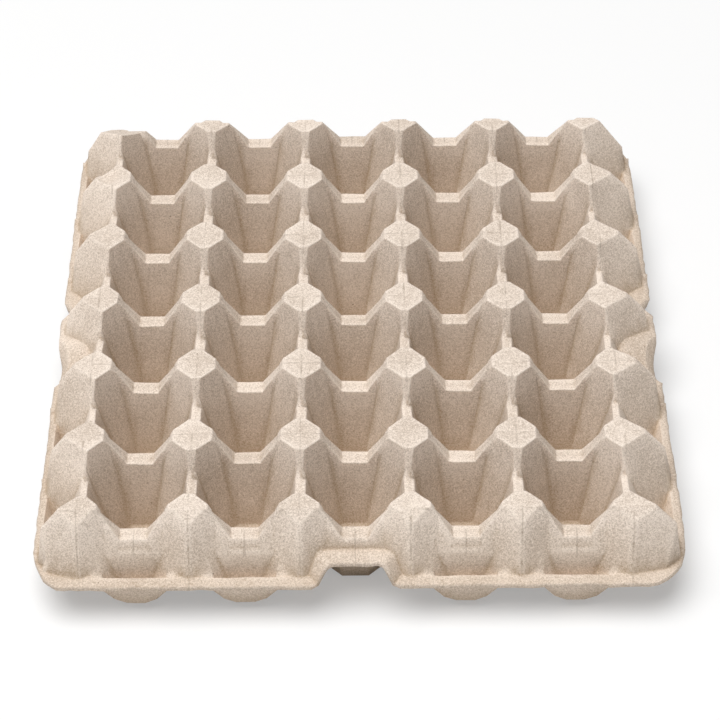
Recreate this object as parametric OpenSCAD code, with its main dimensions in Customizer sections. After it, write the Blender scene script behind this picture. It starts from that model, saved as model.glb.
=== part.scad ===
// Moulded pulp tray: cups, posts and pockets inside a flat rim. It is one thin shell,
// drawn as the space between an upper form and the same form moved inwards by the wall.

/* [Cells] */
// Number of cups across the tray
columns = 5; // [3:2:7]
// Number of cups from front to back
rows = 6; // [4:2:8]
// Distance between the centres of neighbouring cups
pitch = 48; // [46:0.5:56]

/* [Shell] */
// Height from the floor to the tops of the posts
tray_h = 50; // [48:0.5:54]
// Thickness of the pulp
wall = 2; // [1.4:0.1:2.2]

/* [Posts] */
// Half width of a post top across the tray
post_half_x = 8.6; // [7.5:0.1:9.2]
// Half width of a post top from front to back
post_half_y = 10; // [9:0.1:10.2]
// Reach of a post top's slanting edges, both half widths added
post_cut = 12.2; // [11.8:0.1:13]

/* [Saddles] */
// Drop from the post tops to the saddles between rows
row_saddle_drop = 14.5; // [12:0.5:16]
// Half length of the flat on those saddles
row_saddle_half = 5.8; // [4:0.2:7]
// Drop from the post tops to the saddles between columns
column_saddle_drop = 12; // [10:0.5:14]
// Half length of the flat on those saddles
column_saddle_half = 8.6; // [6:0.2:10]

/* [Cups] */
// Lean of the four cup walls off the vertical
cup_draft = 14.5; // [11:0.5:16]
// Lean of the four cup corners off the vertical
cup_corner_draft = 13; // [10:0.5:15]
// Size of the sloping heel between a cup's floor and its walls
cup_heel = 4; // [2.5:0.5:5]
// Size of that heel in the four cup corners
cup_corner_heel = 5.3; // [4.2:0.5:6.2]

/* [Rim] */
// Height of the rim's upper face over the floor
rim_h = 22; // [19:0.5:25]
// Reach of the rim beyond the front and back posts
rim_end_reach = 18.2; // [17:0.2:24]
// Reach of the rim beyond the posts at the two sides
rim_side_reach = 23.5; // [22:0.5:28]
// Width of the rim's flat at the front and back
rim_end_flat = 4.7; // [3:0.1:6]
// Width of the rim's flat at the two sides
rim_side_flat = 3; // [2.2:0.2:4]
// Length of a rounded rim corner across the tray
rim_corner_x = 17; // [10:1:24]
// Length of a rounded rim corner from front to back
rim_corner_y = 26; // [12:1:32]

/* [Ridges] */
// Size of the chamfer on the outer half of the front and back post tops
end_chamfer = 4.4; // [2:0.2:6]
// Half width of the crests that run down from the front and back posts
crest_half = 1; // [0.6:0.2:2]
// Half width of the side post tops on the outer post line
side_top_half = 8.6; // [7.6:0.2:9.4]
// Run of the sloping crest at the end of each side post
side_crest_run = 9.2; // [7:0.2:10]
// Drop of that sloping crest
side_crest_drop = 9.6; // [7:0.2:12]

/* [Corners] */
// Turn of the panels at the four corners
corner_turn = 16; // [12:0.5:18]
// Distance of the cut on each front corner from its post, along the diagonal, at the rim
corner_cut = 17; // [16:0.5:18]
// Lean of that cut off the vertical
corner_cut_lean = 10; // [6:1:14]
// Distance of the cut on each back corner from its post, along the diagonal, at its top
back_cut = 3; // [2.4:0.2:4.6]
// Lean of that cut off the vertical
back_cut_lean = 26.5; // [24:0.5:28]

/* [Pockets] */
// Height of the pocket floors over the tray's floor
pocket_h = 8.5; // [7:0.5:11]
// Turn of the slanting walls in the front pockets
front_flank_turn = 24; // [20:0.5:28]
// Turn of the slanting walls in the back pockets
back_flank_turn = 45; // [40:0.5:48]
// Lean of the front and back pocket wall off the vertical
end_wall_lean = 10; // [6:0.5:11]
// Drop from the saddle to the ledge in the front and back pockets
ledge_drop = 4.6; // [3:0.2:6]
// Depth of that ledge
ledge_depth = 1.1; // [0.6:0.1:1.6]
// Half width of a foot's bottom below the front and back pockets
foot_half = 4.5; // [3:0.5:7]
// Half width of a foot where it leaves the rim
foot_top_half = 17.3; // [13:0.5:18.5]
// Step from the feet of the ridges back to the outer edge of the pockets
pocket_inset = 0.6; // [0.3:0.1:1.2]
// Lean of the side pocket wall off the vertical
side_wall_lean = 26; // [22:0.5:28]
// Outer half width of the saddles along the sides
side_saddle_half = 0.5; // [0.2:0.1:1.5]
// Turn of the slanting walls in the side pockets
side_flank_turn = 50; // [45:0.5:54]
// Lean of those slanting walls, measured square to them
side_flank_lean = 25; // [22:0.5:28]
// Width of the floors of the side pockets
side_floor = 2.4; // [1:0.2:3]

/* [Notches] */
// Half width of the crown over the front and back finger notches
end_crown_half = 9.7; // [6:0.1:12]
// Length of each leg of those notches
end_leg = 9.3; // [6:0.1:12]
// Rise of the rim over the front and back notches
end_rise = 10.2; // [6:0.2:11]
// Half width of the crown over the side notches
side_crown_half = 9.7; // [6:0.1:14]
// Length of each leg of those notches
side_leg = 23; // [14:0.5:26]
// Rise of the rim over the side notches
side_rise = 11; // [6:0.2:12]
// Depth of the two scallops in the rim beside a side notch's crown
scallop_depth = 6.5; // [3:0.5:7]
// Radius of those scallops
scallop_r = 15; // [11:1:18]
// Distance of a scallop from the middle of its notch
scallop_out = 19; // [15:0.5:22]

/* [Hidden] */
pulp_colour = [0.82, 0.77, 0.70];
half = pitch / 2;
// Turns from the +X direction to the front and the back
front = -90;
back = 90;
// Outer post lines, measured from the middle of the tray
side_line = columns * half;
end_line = rows * half;
// Reach of the cutting shapes beyond what they cut
over = 10;
sky = tray_h + over;
ground = -over;
// Step that keeps hidden ends of cutting shapes clear of visible faces
step = 1;
span = 2 * (side_line + end_line);
// Half widths of the ridge crests at their saddles
column_crest = post_cut - post_half_y;
row_crest = post_cut - post_half_x;
row_saddle_z = tray_h - row_saddle_drop;
column_saddle_z = tray_h - column_saddle_drop;
// Inner edges of the rim's flat, measured from the outer post lines
end_crease = rim_end_reach - rim_end_flat;
side_crease = rim_side_reach - rim_side_flat;
// Steps along a curve of the rim, and sides of a full circle
curve_steps = 8;
circle_sides = 64;
// Depth to which the legs of a notch run out below the rim's face
leg_sink = 0.6;

// Points of an open path moved to its right by d, with mitred corners
function along(p, q) = (q - p) / norm(q - p);
function right(v) = [v[1], -v[0]];
function joint(a, b) = (a + b) / (1 + a * b);
function shifted(p, d) = [for (i = [0 : len(p) - 1])
    let (
        before = right(along(p[max(i - 1, 0)], p[max(i, 1)])),
        after = right(along(p[min(i, len(p) - 2)], p[min(i + 1, len(p) - 1)]))
    )
    p[i] + d * joint(before, after)];

// A path from the middle outwards, moved and mirrored to the other side
function both_sides(p, d) = let (moved = shifted(p, d)) concat(
    [for (i = [len(p) - 1 : -1 : 1]) [-moved[i][0], moved[i][1]]],
    [for (i = [1 : len(p) - 1]) moved[i]]);

// Where a straight line through a point stands at height z, run per rise given
function reach(at, z, run) = at[0] + (z - at[1]) * run;

// A long prism along Y from an outline in X and Z, turned about Z
module prism(turn, outline) {
    rotate([0, 0, turn])
        rotate([90, 0, 0])
            linear_extrude(height = span, center = true)
                polygon(outline);
}

module at_cells() {
    for (i = [0 : columns - 1], j = [0 : rows - 1])
        translate([(i + 0.5) * pitch - side_line, (j + 0.5) * pitch - end_line, 0])
            children();
}

// Half profile of a cup: floor, heel and wall through a given point
function cup_path(at, draft, heel, floor_z) = let (
        run = tan(draft),
        heel_z = wall + heel,
        heel_x = reach(at, heel_z, run)
    ) [
        [0, floor_z],
        [reach([heel_x, heel_z], floor_z, 1), floor_z],
        [heel_x, heel_z],
        [reach(at, sky, run), sky]
    ];

module cup(d) {
    across = cup_path([half - column_crest, column_saddle_z], cup_draft, cup_heel, wall);
    deep = cup_path([half - row_crest, row_saddle_z], cup_draft, cup_heel, wall - step);
    slant = cup_path([(pitch - post_cut) / sqrt(2), tray_h], cup_corner_draft, cup_corner_heel, wall - step);
    intersection() {
        prism(0, both_sides(across, d));
        prism(90, both_sides(deep, d));
        prism(45, both_sides(slant, d));
        prism(135, both_sides(slant, d));
    }
}

// Half profile of the channel that lowers a row of ridges to their saddles
function channel_path(flat_half, floor_z, top_half) = let (
        run = (top_half - flat_half) / (tray_h - floor_z)
    ) [
        [0, floor_z],
        [flat_half, floor_z],
        [reach([top_half, tray_h], sky, run), sky]
    ];

module saddle_channels(d) {
    for (i = [0 : columns - 1])
        translate([(i + 0.5) * pitch - side_line, 0, 0])
            prism(0, both_sides(channel_path(row_saddle_half, row_saddle_z, half - post_half_x), d));
    for (j = [0 : rows - 1])
        translate([0, (j + 0.5) * pitch - end_line, 0])
            prism(90, both_sides(channel_path(column_saddle_half, column_saddle_z, half - post_half_y), d));
}

// Slope of the ridges that run down from the front and back posts to the rim
end_ridge_run = (end_crease - end_chamfer) / (tray_h - end_chamfer - rim_h);
function end_ridge(z) = end_crease - (z - rim_h) * end_ridge_run;

// Profile of the open space beyond a sloping wall
function beyond(wall_points) = concat(wall_points, [[span, ground], [span, sky]]);

// A straight sloping wall through a point, run per rise given
function slope(at, run) = [[reach(at, sky, run), sky], [reach(at, ground, run), ground]];

// Slanting wall beside a front or back ridge, measured square to the wall
function end_flank(turn) = slope(
    [end_crease * cos(turn) + crest_half * sin(turn), rim_h], -end_ridge_run * cos(turn));

// Middle wall of a front or back pocket, from the sky down
function end_wall() = let (
        ledge_z = row_saddle_z - ledge_drop,
        ledge_in = row_crest + ledge_drop * end_ridge_run,
        ledge_out = [ledge_in + ledge_depth, ledge_z - ledge_depth]
    ) [
        [reach([row_crest, row_saddle_z], sky, -end_ridge_run), sky],
        [ledge_in, ledge_z],
        ledge_out,
        [reach(ledge_out, ground, -tan(end_wall_lean)), ground]
    ];

// The space between the slanting walls of two neighbouring posts
module between_flanks(outline, turn) {
    intersection() {
        translate([0, half, 0])
            prism(-turn, outline);
        translate([0, -half, 0])
            prism(turn, outline);
    }
}

// The space in front of a pocket's walls, looking along +X from the post line
module bay(middle, flank, turn, d) {
    intersection() {
        prism(0, shifted(beyond(middle), d));
        between_flanks(shifted(beyond(flank), d), turn);
    }
}

// The part of a pocket below the rim, from the post line out to its edge
module trough(floor_out, edge, d) {
    top = rim_h + over;
    out_run = (edge - floor_out) / (rim_h - pocket_h);
    foot_run = (foot_top_half - foot_half) / (rim_h - pocket_h);
    foot = [foot_half, pocket_h];
    below = pocket_h - step;
    intersection() {
        prism(0, shifted([
            [0, top],
            [0, pocket_h],
            [floor_out, pocket_h],
            [reach([floor_out, pocket_h], top, out_run), top]
        ], d));
        prism(90, both_sides([
            [0, below],
            [reach(foot, below, foot_run), below],
            [reach(foot, top, foot_run), top]
        ], d));
    }
}

// The pockets' places along the ends and the sides, with or without the notched middle
module at_ends(turns, from_middle) {
    for (turn = turns, i = [0 : columns - 1])
        if (abs(i - (columns - 1) / 2) >= from_middle)
            rotate([0, 0, turn])
                translate([end_line, (i + 0.5) * pitch - side_line, 0])
                    children();
}

module at_sides(from_middle) {
    for (turn = [0, 180], j = [0 : rows - 1])
        if (abs(j - (rows - 1) / 2) >= from_middle)
            rotate([0, 0, turn])
                translate([side_line, (j + 0.5) * pitch - end_line, 0])
                    children();
}

module bays(d) {
    side_run = -tan(side_wall_lean);
    flank_run = -tan(side_flank_lean);
    at_ends([front], 0)
        bay(end_wall(), end_flank(front_flank_turn), front_flank_turn, d);
    at_ends([back], 0)
        bay(end_wall(), end_flank(back_flank_turn), back_flank_turn, d);
    at_sides(0)
        bay(
            slope([side_saddle_half, column_saddle_z], side_run),
            slope([side_top_half * sin(side_flank_turn), tray_h], flank_run),
            side_flank_turn, d);
}

module troughs(d) {
    end_edge = end_crease - pocket_inset;
    side_edge = side_crease - pocket_inset;
    at_ends([front, back], 1)
        trough((reach(end_wall()[2], pocket_h, -tan(end_wall_lean)) + end_edge) / 2, end_edge, d);
    at_sides(1)
        trough(
            reach([side_saddle_half, column_saddle_z], pocket_h, -tan(side_wall_lean)) + side_floor,
            side_edge, d);
}

// The faces that cut each corner post's outer side
module corner_faces(d) {
    front_cut = slope([corner_cut, rim_h], -tan(corner_cut_lean));
    rear_cut = slope([back_cut, tray_h], -tan(back_cut_lean));
    for (turn = [front, back], s = [-1, 1])
        rotate([0, 0, turn])
            translate([end_line, s * side_line, 0]) {
                prism(s * corner_turn, shifted(beyond(end_flank(corner_turn)), d));
                prism(s * 45, shifted(beyond(turn == front ? front_cut : rear_cut), d));
            }
}

// The solid mass of posts and ridges, before the cups and pockets are taken out
module mass(d) {
    side_edge = [side_line + post_half_x + side_crest_run, tray_h - side_crest_drop];
    side_run = (side_line + side_crease - side_edge[0]) / (rim_h - side_edge[1]);
    ends = [
        [0, tray_h],
        [end_line, tray_h],
        [end_line + end_chamfer, tray_h - end_chamfer],
        [end_line + end_ridge(ground), ground]
    ];
    sides = [
        [0, tray_h],
        [side_line + post_half_x, tray_h],
        side_edge,
        [reach(side_edge, ground, side_run), ground]
    ];
    intersection() {
        prism(90, both_sides(ends, d));
        prism(0, both_sides(sides, d));
    }
}

// Outline of the rim with its rounded corners
function rim_corner(sx, sy) = [for (k = [0 : curve_steps])
    let (a = 90 * (sx * sy > 0 ? k : curve_steps - k) / curve_steps)
    [
        sx * (side_line + rim_side_reach - rim_corner_x * (1 - cos(a))),
        sy * (end_line + rim_end_reach - rim_corner_y * (1 - sin(a)))
    ]];

module rim_outline() {
    difference() {
        polygon(concat(rim_corner(1, 1), rim_corner(-1, 1), rim_corner(-1, -1), rim_corner(1, -1)));
        for (sx = [-1, 1], sy = [-1, 1])
            translate([
                sx * (side_line + rim_side_reach + scallop_r - scallop_depth),
                sy * scallop_out
            ])
                circle(r = scallop_r, $fn = circle_sides);
    }
}

// A wide block from below the floor up to a given height
module slab(height) {
    translate([-span / 2, -span / 2, ground])
        cube([span, span, height - ground]);
}

// Half profile of a raised stretch of rim, with legs in a smooth double curve
function arch_path(crown_half, leg, rise) = concat(
    [[0, rim_h + rise]],
    [for (k = [0 : curve_steps])
        [
            crown_half + leg * k / curve_steps,
            rim_h - leg_sink + (rise + leg_sink) * (1 + cos(180 * k / curve_steps)) / 2
        ]],
    [[crown_half + leg + step, ground]]);

module arch(d, path, line) {
    intersection() {
        translate([line, 0, 0])
            prism(90, both_sides(path, d));
        translate([line + span / 2, 0, 0])
            slab(sky);
    }
}

module arches(d) {
    for (turn = [front, back])
        rotate([0, 0, turn])
            arch(d, arch_path(end_crown_half, end_leg, end_rise), end_line);
    for (turn = [0, 180])
        rotate([0, 0, turn])
            arch(d, arch_path(side_crown_half, side_leg, side_rise), side_line);
}

// Everything under the tray's skin, moved inwards by d
module form(d) {
    difference() {
        mass(d);
        at_cells()
            cup(d);
        saddle_channels(d);
        bays(d);
        corner_faces(d);
    }
    difference() {
        slab(rim_h - d);
        at_cells()
            cup(d);
        troughs(d);
    }
    arches(d);
}

module tray() {
    color(pulp_colour)
        difference() {
            intersection() {
                form(0);
                translate([0, 0, ground / 2])
                    linear_extrude(height = sky - ground)
                        rim_outline();
            }
            form(wall);
        }
}

tray();
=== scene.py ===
import functools
import math

import bmesh
import bpy
import numpy as np
from mathutils import Matrix, Vector, noise


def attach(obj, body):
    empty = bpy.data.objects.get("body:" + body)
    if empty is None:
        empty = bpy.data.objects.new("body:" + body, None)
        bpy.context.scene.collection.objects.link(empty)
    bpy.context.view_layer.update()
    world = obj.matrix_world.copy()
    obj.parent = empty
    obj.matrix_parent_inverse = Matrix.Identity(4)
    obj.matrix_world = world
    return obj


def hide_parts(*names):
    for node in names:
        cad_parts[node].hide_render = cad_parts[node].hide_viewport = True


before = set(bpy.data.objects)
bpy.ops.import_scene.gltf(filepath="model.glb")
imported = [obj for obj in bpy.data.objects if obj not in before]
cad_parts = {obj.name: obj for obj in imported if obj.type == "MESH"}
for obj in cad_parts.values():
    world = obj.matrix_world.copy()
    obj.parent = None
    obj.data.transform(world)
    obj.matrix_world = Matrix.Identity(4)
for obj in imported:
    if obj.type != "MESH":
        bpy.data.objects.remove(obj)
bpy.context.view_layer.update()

# Sizes of the tray in millimetres, with turns, drafts and leans in degrees, close to those in the source
HALF = 24.0
COLUMNS, ROWS = 5, 6
SIDE_LINE = COLUMNS * HALF
END_LINE = ROWS * HALF
TRAY_H = 50.0
WALL = 2.0
POST_HALF_X, POST_HALF_Y, POST_CUT = 8.6, 10.0, 12.2
COLUMN_CREST = POST_CUT - POST_HALF_Y
ROW_CREST = POST_CUT - POST_HALF_X
ROW_SADDLE_Z, ROW_SADDLE_HALF = 35.5, 5.8
COLUMN_SADDLE_Z, COLUMN_SADDLE_HALF = 38.0, 8.6
CUP_DRAFT, CUP_CORNER_DRAFT = 14.5, 13.0
CUP_HEEL, CUP_CORNER_HEEL = 2.0, 0.8
ROW_DRAFT, ROW_HEEL = 9.0, 0.8
RIM_H = 22.0
RIM_X, RIM_Y = SIDE_LINE + 23.5, END_LINE + 18.2
RIM_CORNER_X, RIM_CORNER_Y = 17.0, 26.0
END_CREASE, SIDE_CREASE = 13.5, 20.5
END_CHAMFER, CREST_HALF = 4.4, 1.0
END_RIDGE_RUN = (END_CREASE - END_CHAMFER) / (TRAY_H - END_CHAMFER - RIM_H)
SIDE_TOP_HALF, SIDE_CREST_RUN, SIDE_CREST_DROP = 8.6, 9.2, 9.6
POCKET_H, POCKET_INSET = 8.5, 0.6
FRONT_FLANK_TURN, BACK_FLANK_TURN = 24.0, 45.0
CORNER_TURN, SIDE_FLANK_TURN = 16.0, 50.0
END_WALL_LEAN, SIDE_WALL_LEAN, SIDE_FLANK_LEAN = 11.5, 26.0, 25.0
LEDGE_DROP, LEDGE_DEPTH = 4.6, 0.6
FOOT_HALF, FOOT_TOP_HALF, FOOT_RISE, FOOT_TOP_RISE = 4.5, 18.6, 0.68, 1.27
SIDE_SADDLE_HALF, SIDE_EDGE_RISE = 0.5, 2.2
# Feet at the front and back with their rounded heels, and the gentler slope of their pockets to the ridges
END_FOOT_HALF, END_FOOT_RISE, END_HEEL_HALF, END_HEEL_RISE = 6.2, 1.1, 3.6, 0.45
END_POCKET_HALF, END_POCKET_RISE = 22.6, 0.56
CORNER_CUT, CORNER_CUT_LEAN = 17.0, 10.0
BACK_CUT, BACK_CUT_LEAN = 3.0, 26.5
END_CROWN_HALF, END_LEG, END_RISE, END_SETBACK = 9.7, 9.3, 9.0, 5.0
# Growth of the end notches' width towards the posts, as a share per millimetre from the rim's edge
END_SPREAD = 0.03
# Outward fall of the rim's flat and of the notches' crowns, and where the crowns begin to fall
RIM_FALL, CROWN_FALL, CROWN_FROM = 0.18, 0.2, 8.0
# Reach of the sides in the photo as a share of the even reach: left and right
LEFT_REACH, RIGHT_REACH = 0.90, 1.07
SIDE_CROWN_HALF, SIDE_LEG, SIDE_RISE = 9.7, 23.0, 11.0
LEG_SINK = 0.6
SCALLOP_DEPTH, BACK_SCALLOP_DEPTH, SCALLOP_R, SCALLOP_OUT, CROWN_SETBACK = 3.0, 5.0, 15.0, 19.0, 1.2
# The rim is bent down at the scallops: distance of the fold from the rim's edge, and its fall
FOLD_DEPTH, FOLD_FALL = 6.5, 1.2

# Unevenness of the pulp in millimetres: of the skin, from a height on, and of the rim's edge
SKIN_WAVE, SKIN_WAVE_LENGTH = 0.5, 14.0
WAVE_FROM_Z, WAVE_FULL_Z = 4.0, 16.0
EDGE_WAVE, EDGE_WAVE_LENGTH = 0.55, 5.0
# Small swellings where the side ridges run into the rim
GUSSET_RISE, GUSSET_FALL, GUSSET_FROM = 1.6, 0.95, 9.0
# The bent corner post at the back left: height at the front of its top, and fall to the back
BENT_Z, BENT_FALL = 48.4, 0.5
# Dent in the next post on the left: place, height there and rise per square millimetre of distance
DENT_X, DENT_Y, DENT_Z, DENT_RISE = -SIDE_LINE - 3.0, 2 * END_LINE / 3 + 1.0, 46.8, 0.06
SOFT_DENT = 2.0

# Cells of the upper and lower sheet, and bands at the rim: start, end and count of cells
CELL, LOWER_CELL = HALF / 7, HALF / 5
SIDE_BANDS = ((0.0, 21.0, 6), (21.0, RIM_X - SIDE_LINE, 2))
END_BANDS = ((0.0, 13.2, 4), (13.2, 17.0, 2), (17.0, RIM_Y - END_LINE, 2))
# Cutting of the sheets: least change of slope at a crease, width of the rounded strip beside it, distance at
# which a line counts as meeting a corner, share by which test points move into a face, step for the slopes
CREASE_SLOPE, STRIP, NEAR = 0.2, 0.6, 0.03
TEST_SHIFT, SLOPE_STEP = 0.03, 0.001
CUT_PASSES = 8

# Colours of the pulp: dark and light grain, painted shade for low parts and hollows, seams and specks
DARK_PULP, LIGHT_PULP = (0.50, 0.405, 0.325, 1.0), (0.91, 0.80, 0.70, 1.0)
PAINTED_SHADE_PULP, MARKED_PULP = (0.29, 0.18, 0.07, 1.0), (0.20, 0.14, 0.09, 1.0)
# Noise in the pulp: scales per metre, and what each adds to the tone
CLOUD, GRAIN, FINE, STRAND = 40.0, 1150.0, 2000.0, 380.0
CLOUD_TONE, GRAIN_TONE, FINE_TONE, LIGHT_STRAND_TONE, DARK_STRAND_TONE = 0.5, 1.1, 1.3, 0.18, 0.2
# Strands: level of the noise at their middle, and distance from it at which they end
LIGHT_STRAND, LIGHT_STRAND_HALF, DARK_STRAND, DARK_STRAND_HALF = 0.53, 0.03, 0.43, 0.025
# Specks: scale, radius at full and no strength, range of the draw that leaves some cells empty, and strength
SPECKS, SPECK_IN, SPECK_OUT, SPECK_NONE, SPECK_FULL, SPECK_SHADE = 100.0, 0.02, 0.06, 0.4, 0.8, 0.8
# Seams of the mould: wobble and gaps, half width at full and no strength, and strengths
WOBBLE, WOBBLE_WIDTH, GAPS, GAP_NONE, GAP_FULL = 150.0, 0.9, 130.0, 0.36, 0.62
SEAM_IN, SEAM_OUT, SEAM_SHADE, ROW_SEAM, END_SEAM = 0.08, 0.5, 0.34, 0.7, 0.9
# Painted shade lower down: how far the pulp turns to it at and below the first height, not at all from the
# second
LOW_PAINTED_SHADE, LOW_Z, HIGH_Z = 0.22, 20.0, 46.0
# Painted highlight on edges and painted shade in hollows: distance over which they are felt, directions, gain
# and strengths
EDGE_REACH, EDGE_DIRECTIONS, EDGE_GAIN = 1.2, 8, 2.0
EDGE_PAINTED_HIGHLIGHT, HOLLOW_PAINTED_SHADE = 0.15, 0.26
# Relief and gloss of the pulp
GRAIN_RELIEF, FINE_RELIEF, STRAND_RELIEF, SEAM_RELIEF = 0.9, 0.5, 0.15, 0.5
BUMP_STRENGTH, BUMP_DISTANCE = 0.3, 0.0004
ROUGHNESS, SPECULAR = 0.95, 0.2

# Light: the world's glow, the lamp, and the floor, which is plain white from some distance on
WHITE = (1.0, 1.0, 1.0, 1.0)
GLOW, GLOW_STRENGTH = (1.0, 0.985, 0.965, 1.0), 0.2
LAMP_AT, LAMP_SIZE, LAMP_POWER = (-0.7, -0.55, 3.35), 3.2, 138.0
FLOOR_HALF, FLOOR_PAPER = 6.0, (0.9, 0.9, 0.9, 1.0)
FLOOR_WHITE, WHITE_FROM, WHITE_TO = 0.33, 0.3, 0.9

MM = 0.001

# Camera, fitted to the grid of post tops in the photo
IMAGE_PX = 720
FOCAL_PX = 2526.7
SENSOR_MM = 36.0
CAMERA_AT = Vector((-0.0001, -0.92506, 0.80662))
CAMERA_TILT, CAMERA_YAW, CAMERA_ROLL = 49.27, -0.19, -0.32


class Value:
    """A number in a node tree, with the usual operators."""

    def __init__(self, graph, socket):
        self.graph = graph
        self.socket = socket

    def __add__(self, other):
        return self.graph.math("ADD", self, other)

    def __radd__(self, other):
        return self.graph.math("ADD", other, self)

    def __sub__(self, other):
        return self.graph.math("SUBTRACT", self, other)

    def __rsub__(self, other):
        return self.graph.math("SUBTRACT", other, self)

    def __mul__(self, other):
        return self.graph.math("MULTIPLY", self, other)

    def __rmul__(self, other):
        return self.graph.math("MULTIPLY", other, self)

    def __truediv__(self, other):
        return self.graph.math("DIVIDE", self, other)

    def __neg__(self):
        return self.graph.math("MULTIPLY", self, -1.0)

    def __abs__(self):
        return self.graph.math("ABSOLUTE", self)


class Graph:
    """Builds the nodes of one tree."""

    def __init__(self, tree):
        self.tree = tree
        tree.nodes.clear()

    def put(self, socket, value):
        if isinstance(value, Value):
            self.tree.links.new(value.socket, socket)
        else:
            socket.default_value = value

    def add(self, kind, inputs=None, out=0, **settings):
        node = self.tree.nodes.new(kind)
        for name, value in settings.items():
            setattr(node, name, value)
        for key, value in (inputs or {}).items():
            self.put(node.inputs[key], value)
        return Value(self, node.outputs[out]) if node.outputs else node

    def math(self, operation, *values):
        return self.add("ShaderNodeMath", dict(enumerate(values)), operation=operation)

    def lowest(self, *values):
        return functools.reduce(lambda a, b: self.math("MINIMUM", a, b), values)

    def highest(self, *values):
        return functools.reduce(lambda a, b: self.math("MAXIMUM", a, b), values)

    def ramp(self, value, low, high):
        """0 below low, 1 above high and smooth between."""
        return self.add("ShaderNodeMapRange", {0: value, 1: low, 2: high}, interpolation_type="SMOOTHSTEP")


class Sums(Graph):
    """Does a graph's sums on arrays of numbers, so that the creases are known before the sheet is cut."""

    KINDS = {
        "MINIMUM": np.minimum, "MAXIMUM": np.maximum, "COSINE": np.cos, "SINE": np.sin, "SQRT": np.sqrt,
        "MULTIPLY_ADD": lambda a, b, c: a * b + c,
        "PINGPONG": lambda a, size: abs((a - size) % (2 * size) - size),
        "LESS_THAN": lambda a, b: np.where(a < b, 1.0, 0.0),
        "GREATER_THAN": lambda a, b: np.where(a > b, 1.0, 0.0),
    }

    def __init__(self):
        pass

    def math(self, operation, *values):
        return self.KINDS[operation](*values)


def tan(degrees):
    return math.tan(math.radians(degrees))


def turned(graph, out, across, degrees):
    """Distance along a direction that is turned from the first axis towards the second."""
    angle = math.radians(degrees)
    return graph.math("MULTIPLY_ADD", across, math.sin(angle), out * math.cos(angle))


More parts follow.
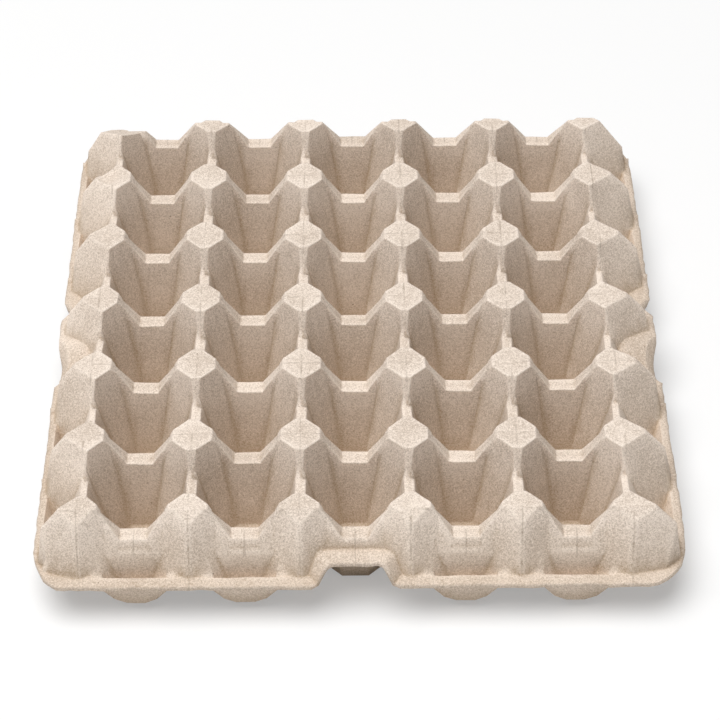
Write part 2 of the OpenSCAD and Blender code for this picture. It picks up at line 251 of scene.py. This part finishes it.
def tray_height(g, x, y, depth):
    """Height of the tray's skin over a point, moved into the pulp by depth."""

    def plane(at, at_0, z_0, rise):
        level = g.math("MULTIPLY_ADD", at, rise, z_0 - at_0 * rise)
        return g.math("MULTIPLY_ADD", depth, -math.hypot(1.0, rise), level)

    def flat(z):
        return z - depth

    def beyond(value, limit):
        return g.math("MAXIMUM", value - limit, 0.0)

    ax, ay = abs(x), abs(y)
    u = g.math("PINGPONG", g.math("MINIMUM", ax, SIDE_LINE), HALF) + beyond(ax, SIDE_LINE)
    v = HALF - g.math("PINGPONG", g.math("MINIMUM", ay, END_LINE), HALF) + beyond(ay, END_LINE)
    end, side = ay - END_LINE, ax - SIDE_LINE
    front, back = -y - END_LINE, y - END_LINE
    post_u, post_v = HALF - u, HALF - v

    # Cups
    slant = turned(g, u, v, 45.0)
    walls, heels = [], []
    for at, at_0, z_0, draft, heel in (
            (u, HALF - COLUMN_CREST, COLUMN_SADDLE_Z, CUP_DRAFT, CUP_HEEL),
            (v, HALF - ROW_CREST, ROW_SADDLE_Z, ROW_DRAFT, ROW_HEEL),
            (slant, (2 * HALF - POST_CUT) / math.sqrt(2), TRAY_H, CUP_CORNER_DRAFT, CUP_CORNER_HEEL)):
        walls.append(plane(at, at_0, z_0, 1 / tan(draft)))
        heel_in = at_0 + (WALL + heel - z_0) * tan(draft) - heel
        heels.append(plane(at, heel_in, WALL, 1.0))
    cup = g.highest(*walls)
    cup = g.highest(cup, g.highest(*heels), flat(WALL))

    # Saddles between the posts
    row_rise = (TRAY_H - ROW_SADDLE_Z) / (HALF - POST_HALF_X - ROW_SADDLE_HALF)
    column_rise = (TRAY_H - COLUMN_SADDLE_Z) / (HALF - POST_HALF_Y - COLUMN_SADDLE_HALF)
    rows = g.highest(flat(ROW_SADDLE_Z), plane(u, ROW_SADDLE_HALF, ROW_SADDLE_Z, row_rise))
    columns = g.highest(
        flat(COLUMN_SADDLE_Z), plane(v, COLUMN_SADDLE_HALF, COLUMN_SADDLE_Z, column_rise))

    # Posts and ridges
    crest_out = POST_HALF_X + SIDE_CREST_RUN
    crest_z = TRAY_H - SIDE_CREST_DROP
    mass = g.lowest(
        flat(TRAY_H),
        plane(end, 0.0, TRAY_H, -1.0),
        plane(end, END_CREASE, RIM_H, -1 / END_RIDGE_RUN),
        plane(side, POST_HALF_X, TRAY_H, -SIDE_CREST_DROP / SIDE_CREST_RUN),
        plane(side, SIDE_CREASE, RIM_H, (RIM_H - crest_z) / (SIDE_CREASE - crest_out)))

    # Bays between the ridges
    def end_flank(at, degrees):
        angle = math.radians(degrees)
        foot = END_CREASE * math.cos(angle) + CREST_HALF * math.sin(angle)
        return plane(at, foot, RIM_H, -1 / (END_RIDGE_RUN * math.cos(angle)))

    ledge_z = ROW_SADDLE_Z - LEDGE_DROP
    ledge_in = ROW_CREST + LEDGE_DROP * END_RIDGE_RUN
    ledge_out = ledge_in + LEDGE_DEPTH
    upper = plane(end, ROW_CREST, ROW_SADDLE_Z, -1 / END_RIDGE_RUN)
    ledge = plane(end, ledge_in, ledge_z, -1.0)
    lower = plane(end, ledge_out, ledge_z - LEDGE_DEPTH, -1 / tan(END_WALL_LEAN))
    end_wall = g.lowest(g.highest(upper, ledge), lower)
    front_bay, back_bay = (
        g.highest(end_wall, end_flank(turned(g, out, post_u, degrees), degrees))
        for out, degrees in ((front, FRONT_FLANK_TURN), (back, BACK_FLANK_TURN)))
    side_wall = plane(side, SIDE_SADDLE_HALF, COLUMN_SADDLE_Z, -1 / tan(SIDE_WALL_LEAN))
    side_flank = plane(
        turned(g, side, post_v, SIDE_FLANK_TURN),
        SIDE_TOP_HALF * math.sin(math.radians(SIDE_FLANK_TURN)), TRAY_H, -1 / tan(SIDE_FLANK_LEAN))
    side_bay = g.highest(side_wall, side_flank)

    # Outer faces of the corner posts
    corner = end_flank(turned(g, end, side, CORNER_TURN), CORNER_TURN)
    front_cut = plane(turned(g, front, side, 45.0), CORNER_CUT, RIM_H, -1 / tan(CORNER_CUT_LEAN))
    back_cut = plane(turned(g, back, side, 45.0), BACK_CUT, TRAY_H, -1 / tan(BACK_CUT_LEAN))

    upper_form = g.lowest(
        mass, rows, columns, front_bay, back_bay, side_bay, corner, front_cut, back_cut)
    upper_form = g.lowest(upper_form, cup)

    # Rim with its pockets
    drop = RIM_H - POCKET_H
    end_edge, side_edge = END_CREASE - POCKET_INSET, SIDE_CREASE - POCKET_INSET
    wall_foot = ledge_out + (ledge_z - LEDGE_DEPTH - POCKET_H) * tan(END_WALL_LEAN)
    end_floor = (wall_foot + end_edge) / 2
    filled = 100.0
    end_trough = g.highest(
        flat(POCKET_H), plane(end, end_floor, POCKET_H, drop / (end_edge - end_floor)),
        plane(u, END_HEEL_HALF, POCKET_H, END_HEEL_RISE),
        g.lowest(plane(u, END_FOOT_HALF, POCKET_H, END_FOOT_RISE),
                 plane(u, END_POCKET_HALF, RIM_H, END_POCKET_RISE)))
    end_trough = end_trough + filled * g.math("LESS_THAN", ax, HALF)
    side_trough = g.highest(
        flat(POCKET_H), plane(side, side_edge, RIM_H, SIDE_EDGE_RISE),
        plane(v, FOOT_HALF, POCKET_H, FOOT_RISE), plane(v, FOOT_TOP_HALF, RIM_H, FOOT_TOP_RISE))
    side_trough = side_trough + filled * g.math("LESS_THAN", ay, 2 * HALF)
    rim = g.lowest(
        flat(RIM_H), plane(end, END_CREASE, RIM_H, -RIM_FALL), plane(side, SIDE_CREASE, RIM_H, -RIM_FALL),
        end_trough, side_trough)
    rim = g.lowest(rim, cup)

    # Raised finger notches
    def arch(along, out, crown, leg, rise):
        """A crown with two curved legs, along the rim."""
        part = g.math("MINIMUM", beyond(along, crown) / leg, 1.0) * math.pi
        swing = (rise + LEG_SINK) / 2
        level = RIM_H - LEG_SINK + swing * (1.0 + g.math("COSINE", part))
        level = level - beyond(out, CROWN_FROM) * CROWN_FALL
        steep = g.math("SINE", part) * (swing * math.pi / leg)
        thick = depth * g.math("SQRT", steep * steep + 1.0)
        gone = g.math("GREATER_THAN", along, crown + leg) + g.math("LESS_THAN", out, 0.0)
        return level - thick - filled * gone

    gusset = RIM_H + GUSSET_RISE - abs(post_v) * GUSSET_FALL - depth * math.hypot(1.0, GUSSET_FALL)
    gusset = gusset - filled * g.math("LESS_THAN", side, GUSSET_FROM)
    form = g.highest(upper_form, rim, gusset)
    spread = ax * (1.0 - END_SPREAD * (RIM_Y - END_LINE - end))
    form = g.highest(form, arch(spread, end, END_CROWN_HALF, END_LEG, END_RISE))
    form = g.highest(form, arch(ay, side, SIDE_CROWN_HALF, SIDE_LEG, SIDE_RISE))
    from_centre = side - (RIM_X - SIDE_LINE + SCALLOP_R - FOLD_DEPTH)
    along_scallop = ay - SCALLOP_OUT
    reach = g.math("SQRT", from_centre * from_centre + along_scallop * along_scallop)
    form = form - g.math("MAXIMUM", SCALLOP_R - reach, 0.0) * FOLD_FALL
    elsewhere = g.math("GREATER_THAN", x, HALF - SIDE_LINE)
    return g.lowest(form, plane(back, -POST_HALF_Y, BENT_Z, -BENT_FALL) + filled * elsewhere)


def dented(g, x, y, depth, height):
    """The height with the dent in a post top."""
    off_x, off_y = x - DENT_X, y - DENT_Y
    pressed = DENT_Z - depth + (off_x * off_x + off_y * off_y) * DENT_RISE
    return g.math("SMOOTH_MIN", height, pressed, SOFT_DENT)


def skin_tree(material):
    tree = bpy.data.node_groups.new("Tray skin", "GeometryNodeTree")
    g = Graph(tree)
    tree.interface.new_socket("Sheet", in_out="INPUT", socket_type="NodeSocketGeometry")
    tree.interface.new_socket("Depth", in_out="INPUT", socket_type="NodeSocketFloat")
    tree.interface.new_socket("Skin", in_out="OUTPUT", socket_type="NodeSocketGeometry")
    entry = tree.nodes.new("NodeGroupInput")
    sheet, depth = Value(g, entry.outputs["Sheet"]), Value(g, entry.outputs["Depth"])
    where = g.add("GeometryNodeInputPosition")
    x, y = (g.add("ShaderNodeSeparateXYZ", {0: where}, k) for k in (0, 1))
    z = dented(g, x, y, depth, tray_height(g, x, y, depth))
    wave = g.add("ShaderNodeTexNoise", {"Vector": where, "Scale": 1 / SKIN_WAVE_LENGTH, "Detail": 1.0}, 1)
    sway = (g.add("ShaderNodeSeparateXYZ", {0: wave}, k) - 0.5 for k in range(3))
    swing = g.ramp(z, WAVE_FROM_Z, WAVE_FULL_Z) * (2 * SKIN_WAVE)
    left, right = (g.math("MAXIMUM", out - SIDE_LINE, 0.0) for out in (-x, x))
    uneven_x = x + left * (1.0 - LEFT_REACH) + right * (RIGHT_REACH - 1.0)
    place = g.add("ShaderNodeCombineXYZ", {
        k: (at + off * swing) * MM for k, (at, off) in enumerate(zip((uneven_x, y, z), sway))})
    skin = g.add("GeometryNodeSetPosition", {"Geometry": sheet, "Position": place})
    whole = g.add("GeometryNodeRealizeInstances", {0: skin})
    done = g.add("GeometryNodeSetMaterial", {"Geometry": whole, "Material": material})
    g.add("NodeGroupOutput", {"Skin": done})
    return tree


def graded(spans):
    """Points from the first span's start to the last one's end, with a count of cells in each span."""
    points = []
    for start, end, cells in spans:
        points += [start + (end - start) * k / cells for k in range(cells)]
    return points + [spans[-1][1]]


def lines(line, cell, bands):
    """Grid lines across the tray, even between the outer post lines and closer at the rim."""
    out = graded(((0.0, line, round(line / cell)), *((line + a, line + b, n) for a, b, n in bands)))
    return [-p for p in out[:0:-1]] + out


def rim_half_width(y):
    """Half width of the rim at a place along the tray, with its rounded corners and scallops."""
    far = abs(y)
    width = RIM_X
    corner_from = RIM_Y - RIM_CORNER_Y
    if far > corner_from:
        width -= RIM_CORNER_X * (1 - math.sqrt(max(0.0, 1 - ((far - corner_from) / RIM_CORNER_Y) ** 2)))
    if far < SCALLOP_OUT:
        width -= CROWN_SETBACK
    from_scallop = far - SCALLOP_OUT
    if abs(from_scallop) < SCALLOP_R:
        arc = math.sqrt(SCALLOP_R ** 2 - from_scallop ** 2)
        width = min(width, RIM_X + SCALLOP_R - (BACK_SCALLOP_DEPTH if y > 0.0 else SCALLOP_DEPTH) - arc)
    return width


def rim_setback(x):
    """Step of the rim's edge back from its straight line at the front and back finger notches."""
    part = (abs(x) - END_CROWN_HALF) / END_LEG
    return END_SETBACK * (1.0 + math.cos(math.pi * min(1.0, max(0.0, part)))) / 2


def edge_wave(x, y):
    return EDGE_WAVE * noise.noise(Vector((x, y, 0.0)) / EDGE_WAVE_LENGTH)


def flat_sheet(cell, up):
    """A flat grid that fills the rim's outline."""
    xs = lines(SIDE_LINE, cell, SIDE_BANDS)
    ys = lines(END_LINE, cell, END_BANDS)
    sheet = bmesh.new()
    rows = []
    for y in ys:
        width = rim_half_width(y)
        end_part = max(0.0, abs(y) - END_LINE) / (RIM_Y - END_LINE)
        row = []
        for x in xs:
            side_part = max(0.0, abs(x) - SIDE_LINE) / (RIM_X - SIDE_LINE)
            if side_part:
                x = math.copysign(SIDE_LINE + side_part * (width - SIDE_LINE), x)
            wave = edge_wave(x, y)
            row.append(sheet.verts.new((
                x + side_part ** 2 * wave,
                y + end_part ** 2 * wave - math.copysign(end_part * rim_setback(x), y), 0.0)))
        rows.append(row)
    for low, high in zip(rows, rows[1:]):
        for i in range(len(xs) - 1):
            face = (low[i], low[i + 1], high[i + 1], high[i])
            sheet.faces.new(face if up else face[::-1])
    return sheet


def heights(points, depth):
    return tray_height(Sums(), points[:, 0], points[:, 1], depth)


def slopes(points, depth):
    """Heights at points of the sheet, and their rise along X and Y."""
    level = heights(points, depth)
    steps = ((SLOPE_STEP, 0.0), (0.0, SLOPE_STEP))
    rises = [(heights(points + np.array(step), depth) - level) / SLOPE_STEP for step in steps]
    return level, np.stack(rises, axis=1)


def cut(face, normal, at):
    """Splits a face along a line of the sheet; gives both parts, or nothing if the line misses it."""
    verts = list(face.verts)
    off = [normal[0] * v.co.x + normal[1] * v.co.y - at for v in verts]
    off = [0.0 if abs(o) < NEAR else o for o in off]
    if min(off) >= 0.0 or max(off) <= 0.0:
        return None
    crossed = []
    for i, loop in enumerate(face.loops):
        after = off[(i + 1) % len(off)]
        if off[i] * after < 0.0:
            crossed.append((loop.edge, verts[i], off[i] / (off[i] - after)))
    ends = [v for v, o in zip(verts, off) if o == 0.0]
    if len(ends) + len(crossed) != 2:
        return None
    ends += [bmesh.utils.edge_split(edge, vert, part)[1] for edge, vert, part in crossed]
    return face, bmesh.utils.face_split(face, *ends)[0]


def crease_lines(points, level, rise):
    """Lines along which the planes at two corners of a face meet, the likeliest first."""
    first = int(np.argmax(np.linalg.norm(rise - rise[0], axis=1)))
    second = int(np.argmax(np.linalg.norm(rise - rise[first], axis=1)))
    for p, q in ((0, first), (first, second)):
        turn = rise[p] - rise[q]
        size = np.linalg.norm(turn)
        if size > CREASE_SLOPE:
            foot = (rise[p] @ points[p] - level[p]) - (rise[q] @ points[q] - level[q])
            yield turn / size, foot / size


def cut_at_creases(sheet, depth):
    """Cuts the sheet until each face lies in one plane of the tray."""
    waiting = list(sheet.faces)
    for _ in range(CUT_PASSES):
        corners, counts = [], []
        for face in waiting:
            middle = face.calc_center_median()
            corners += [v.co.lerp(middle, TEST_SHIFT).xy for v in face.verts]
            counts.append(len(face.verts))
        points = np.array(corners)
        level, rise = slopes(points, depth)
        found, start = [], 0
        for face, count in zip(waiting, counts):
            part = slice(start, start + count)
            start += count
            for normal, at in crease_lines(points[part], level[part], rise[part]):
                halves = cut(face, normal, at)
                if halves:
                    found += halves
                    break
        waiting = found
        if not waiting:
            break


def cut_strips(sheet, depth):
    """Cuts a narrow strip beside each crease, over which the shading turns."""
    faces = list(sheet.faces)
    rise = slopes(np.array([face.calc_center_median().xy for face in faces]), depth)[1]
    slope = {face: Vector(r) for face, r in zip(faces, rise)}
    wanted = []
    for face in faces:
        found = []
        for edge in face.edges:
            if len(edge.link_faces) == 2:
                a, b = (slope[f] for f in edge.link_faces)
                if (a - b).length > CREASE_SLOPE:
                    start, end = (v.co.xy for v in edge.verts)
                    normal = (end - start).orthogonal().normalized()
                    if normal.dot(face.calc_center_median().xy - start) < 0.0:
                        normal = -normal
                    width = STRIP / math.hypot(1.0, normal.dot(slope[face]))
                    found.append((normal, normal.dot(start) + width))
        if found:
            wanted.append((face, found))
    for face, found in wanted:
        parts = [face]
        for normal, at in found:
            parts = [piece for part in parts for piece in (cut(part, normal, at) or (part,))]


def mark_edges(sheet, depth):
    """Writes how far each point stands out of its surroundings: 1 at a sharp edge, -1 in a sharp hollow."""
    points = np.array([v.co.xy for v in sheet.verts])
    angles = [k * math.tau / EDGE_DIRECTIONS for k in range(EDGE_DIRECTIONS)]
    steps = [(math.cos(angle), math.sin(angle)) for angle in angles]
    nearby = sum(heights(points + EDGE_REACH * np.array(step), depth) for step in steps) / len(steps)
    edge = np.clip((heights(points, depth) - nearby) * EDGE_GAIN / EDGE_REACH, -1.0, 1.0)
    layer = sheet.verts.layers.float.new("Edge")
    for vert, value in zip(sheet.verts, edge):
        vert[layer] = value


def skin(name, tree, depth, cell, up):
    """One skin of the tray: a sheet cut at its creases and raised by the tree, as a plain mesh."""
    sheet = flat_sheet(cell, up)
    cut_at_creases(sheet, depth)
    cut_strips(sheet, depth)
    mark_edges(sheet, depth)
    mesh = bpy.data.meshes.new(name)
    sheet.to_mesh(mesh)
    sheet.free()
    obj = bpy.data.objects.new(name, mesh)
    bpy.context.scene.collection.objects.link(obj)
    raised = obj.modifiers.new("Skin", "NODES")
    raised.node_group = tree
    for item in tree.interface.items_tree:
        if item.name == "Depth":
            raised[item.identifier] = depth
    bpy.context.view_layer.update()
    ready = obj.evaluated_get(bpy.context.evaluated_depsgraph_get())
    result = bpy.data.meshes.new_from_object(ready)
    bpy.data.objects.remove(obj)
    return result


def around(vert):
    return math.atan2(vert.co.y, vert.co.x)


def make_tray(material):
    tree = skin_tree(material)
    shell = bmesh.new()
    rings = []
    for name, depth, cell, up in (("Tray top", 0.0, CELL, True), ("Tray bottom", WALL, LOWER_CELL, False)):
        before = set(shell.verts)
        shell.from_mesh(skin(name, tree, depth, cell, up))
        rings.append(sorted((v for v in shell.verts if v not in before and v.is_boundary), key=around))
    high, low = rings
    i = j = 0
    while i < len(high) or j < len(low):
        a, b = high[i % len(high)], low[j % len(low)]
        next_a, next_b = high[(i + 1) % len(high)], low[(j + 1) % len(low)]
        turn_a = around(next_a) + (i + 1 >= len(high)) * math.tau
        turn_b = around(next_b) + (j + 1 >= len(low)) * math.tau
        if j >= len(low) or (i < len(high) and turn_a < turn_b):
            shell.faces.new((a, b, next_a))
            i += 1
        else:
            shell.faces.new((a, b, next_b))
            j += 1
    mesh = bpy.data.meshes.new("Tray")
    shell.to_mesh(mesh)
    shell.free()
    mesh.materials.clear()
    mesh.materials.append(material)
    for face in mesh.polygons:
        face.use_smooth = True
    tray = bpy.data.objects.new("tray_shell", mesh)
    bpy.context.scene.collection.objects.link(tray)
    return tray


def pulp_material():
    material = bpy.data.materials.new("Pulp")
    material.use_nodes = True
    g = Graph(material.node_tree)
    where = g.add("ShaderNodeTexCoord", out="Object")

    def noise_of(scale, detail, roughness=0.5, distortion=0.0):
        return g.add("ShaderNodeTexNoise", {
            "Vector": where, "Scale": scale, "Detail": detail, "Roughness": roughness,
            "Distortion": distortion})

    def swing(value, strength):
        return (value - 0.5) * strength

    def mixed(part, first, second):
        return g.add("ShaderNodeMix", {0: part, 6: first, 7: second}, 2, data_type="RGBA")

    x, y, z = (g.add("ShaderNodeSeparateXYZ", {0: where}, k) / MM for k in range(3))
    cloud = noise_of(CLOUD, 1.0)
    grain = noise_of(GRAIN, 2.0, 0.6)
    fine = noise_of(FINE, 1.0)
    strand = noise_of(STRAND, 1.0, 0.6, 1.5)
    light_strand = 1.0 - g.ramp(abs(strand - LIGHT_STRAND), 0.0, LIGHT_STRAND_HALF)
    dark_strand = 1.0 - g.ramp(abs(strand - DARK_STRAND), 0.0, DARK_STRAND_HALF)

    # Sparse dark specks, one in some of the cells
    off = g.add("ShaderNodeTexVoronoi", {"Vector": where, "Scale": SPECKS})
    chosen = g.add("ShaderNodeSeparateColor", {0: Value(g, off.socket.node.outputs["Color"])})
    speck = (1.0 - g.ramp(off, SPECK_IN, SPECK_OUT)) * g.ramp(chosen, SPECK_NONE, SPECK_FULL)

    # Seams of the mould along the post lines, and short ones at the end saddles
    wobble = swing(noise_of(WOBBLE, 0.0), WOBBLE_WIDTH)
    gaps = g.ramp(noise_of(GAPS, 1.0), GAP_NONE, GAP_FULL)
    from_line = HALF - g.math("PINGPONG", abs(x), HALF)
    from_row = g.math("PINGPONG", abs(y), HALF)

    def seam(distance):
        return 1.0 - g.ramp(abs(distance + wobble), SEAM_IN, SEAM_OUT)

    end_ridges = g.ramp(abs(y), END_LINE - 2.0, END_LINE) * g.ramp(z, RIM_H - 3.0, RIM_H)
    high = g.math("MAXIMUM", g.ramp(z, TRAY_H - 4.0, TRAY_H - 1.5), end_ridges)
    seams = seam(from_line) * gaps * high
    seams = g.math("MAXIMUM", seams, seam(from_row) * gaps * g.ramp(z, TRAY_H - 4.0, TRAY_H - 1.0) * ROW_SEAM)
    end_saddles = g.ramp(abs(y), END_LINE - 3.0, END_LINE) * g.ramp(z, RIM_H + 5.0, RIM_H + 7.0)
    seams = g.math("MAXIMUM", seams, seam(HALF - from_line) * end_saddles * END_SEAM)

    tone = 0.5 + swing(grain, GRAIN_TONE) + swing(fine, FINE_TONE) + swing(cloud, CLOUD_TONE)
    tone = tone + light_strand * LIGHT_STRAND_TONE - dark_strand * DARK_STRAND_TONE
    edge = g.add("ShaderNodeAttribute", out="Fac", attribute_name="Edge")
    # Painted highlight along sharp edges
    tone = tone + g.math("MAXIMUM", edge, 0.0) * EDGE_PAINTED_HIGHLIGHT
    # Painted shade: darker and warmer in the low parts and in hollows
    low = (1.0 - g.ramp(z, LOW_Z, HIGH_Z)) * LOW_PAINTED_SHADE + g.math("MAXIMUM", -edge, 0.0) * HOLLOW_PAINTED_SHADE
    marks = g.math("MAXIMUM", seams * SEAM_SHADE, speck * SPECK_SHADE)
    colour = mixed(g.ramp(tone, 0.0, 1.0), DARK_PULP, LIGHT_PULP)
    # The painted shade mixed into the colour
    colour = mixed(low, colour, PAINTED_SHADE_PULP)
    colour = mixed(marks, colour, MARKED_PULP)
    relief = swing(grain, GRAIN_RELIEF) + swing(fine, FINE_RELIEF)
    relief = relief + light_strand * STRAND_RELIEF - seams * SEAM_RELIEF
    bump = g.add("ShaderNodeBump", {"Height": relief, "Strength": BUMP_STRENGTH, "Distance": BUMP_DISTANCE})
    surface = g.add("ShaderNodeBsdfPrincipled", {
        "Base Color": colour, "Roughness": ROUGHNESS, "Specular IOR Level": SPECULAR, "Normal": bump})
    g.add("ShaderNodeOutputMaterial", {"Surface": surface})
    return material


def seen(g, share):
    """A share of what the camera sees straight or in a mirror or glass, and nothing for other rays."""
    rays = [g.add("ShaderNodeLightPath", out=kind) for kind in (
        "Is Camera Ray", "Is Glossy Ray", "Is Transmission Ray")]
    return g.highest(*rays) * share


def floor_material():
    """White paper that takes shadows and looks white to the camera."""
    material = bpy.data.materials.new("White floor")
    material.use_nodes = True
    g = Graph(material.node_tree)
    paper = g.add("ShaderNodeBsdfPrincipled", {
        "Base Color": FLOOR_PAPER, "Roughness": 1.0, "Specular IOR Level": 0.0})
    white = g.add("ShaderNodeEmission", {"Color": WHITE, "Strength": 1.0})
    where = g.add("ShaderNodeTexCoord", out="Object")
    far = g.add("ShaderNodeVectorMath", {0: where}, "Value", operation="LENGTH")
    share = seen(g, FLOOR_WHITE + g.ramp(far, WHITE_FROM, WHITE_TO) * (1.0 - FLOOR_WHITE))
    surface = g.add("ShaderNodeMixShader", {0: share, 1: paper, 2: white})
    g.add("ShaderNodeOutputMaterial", {"Surface": surface})
    return material


def make_stage():
    mesh = bpy.data.meshes.new("Floor")
    signs = ((-1, -1), (1, -1), (1, 1), (-1, 1))
    mesh.from_pydata([(a * FLOOR_HALF, b * FLOOR_HALF, 0.0) for a, b in signs], [], [(0, 1, 2, 3)])
    mesh.materials.append(floor_material())
    floor = bpy.data.objects.new("Floor", mesh)
    bpy.context.scene.collection.objects.link(floor)

    world = bpy.data.worlds.new("Studio")
    world.use_nodes = True
    g = Graph(world.node_tree)
    glow = g.add("ShaderNodeBackground", {"Color": GLOW, "Strength": GLOW_STRENGTH})
    white = g.add("ShaderNodeBackground", {"Color": WHITE, "Strength": 1.0})
    surface = g.add("ShaderNodeMixShader", {0: seen(g, 1.0), 1: glow, 2: white})
    g.add("ShaderNodeOutputWorld", {"Surface": surface})
    bpy.context.scene.world = world


def lamp(name, at, target, size, power):
    data = bpy.data.lights.new(name, "AREA")
    data.shape = "DISK"
    data.size = size
    data.energy = power
    obj = bpy.data.objects.new(name, data)
    obj.location = at
    obj.rotation_euler = (Vector(target) - Vector(at)).to_track_quat("-Z", "Y").to_euler()
    bpy.context.scene.collection.objects.link(obj)


def make_camera():
    data = bpy.data.cameras.new("Camera")
    data.sensor_width = SENSOR_MM
    data.lens = FOCAL_PX / IMAGE_PX * SENSOR_MM
    obj = bpy.data.objects.new("Camera", data)
    turn = [Matrix.Rotation(math.radians(angle), 4, axis) for angle, axis in (
        (CAMERA_YAW, "Z"), (CAMERA_TILT, "X"), (CAMERA_ROLL, "Z"))]
    obj.matrix_world = Matrix.Translation(CAMERA_AT) @ turn[0] @ turn[1] @ turn[2]
    bpy.context.scene.collection.objects.link(obj)
    bpy.context.scene.camera = obj


make_camera()
make_stage()
lamp("Overhead", LAMP_AT, (0.0, 0.0, 0.0), LAMP_SIZE, LAMP_POWER)
tray = make_tray(pulp_material())
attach(tray, "root")
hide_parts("tray")
bpy.context.scene.view_settings.view_transform = "Standard"
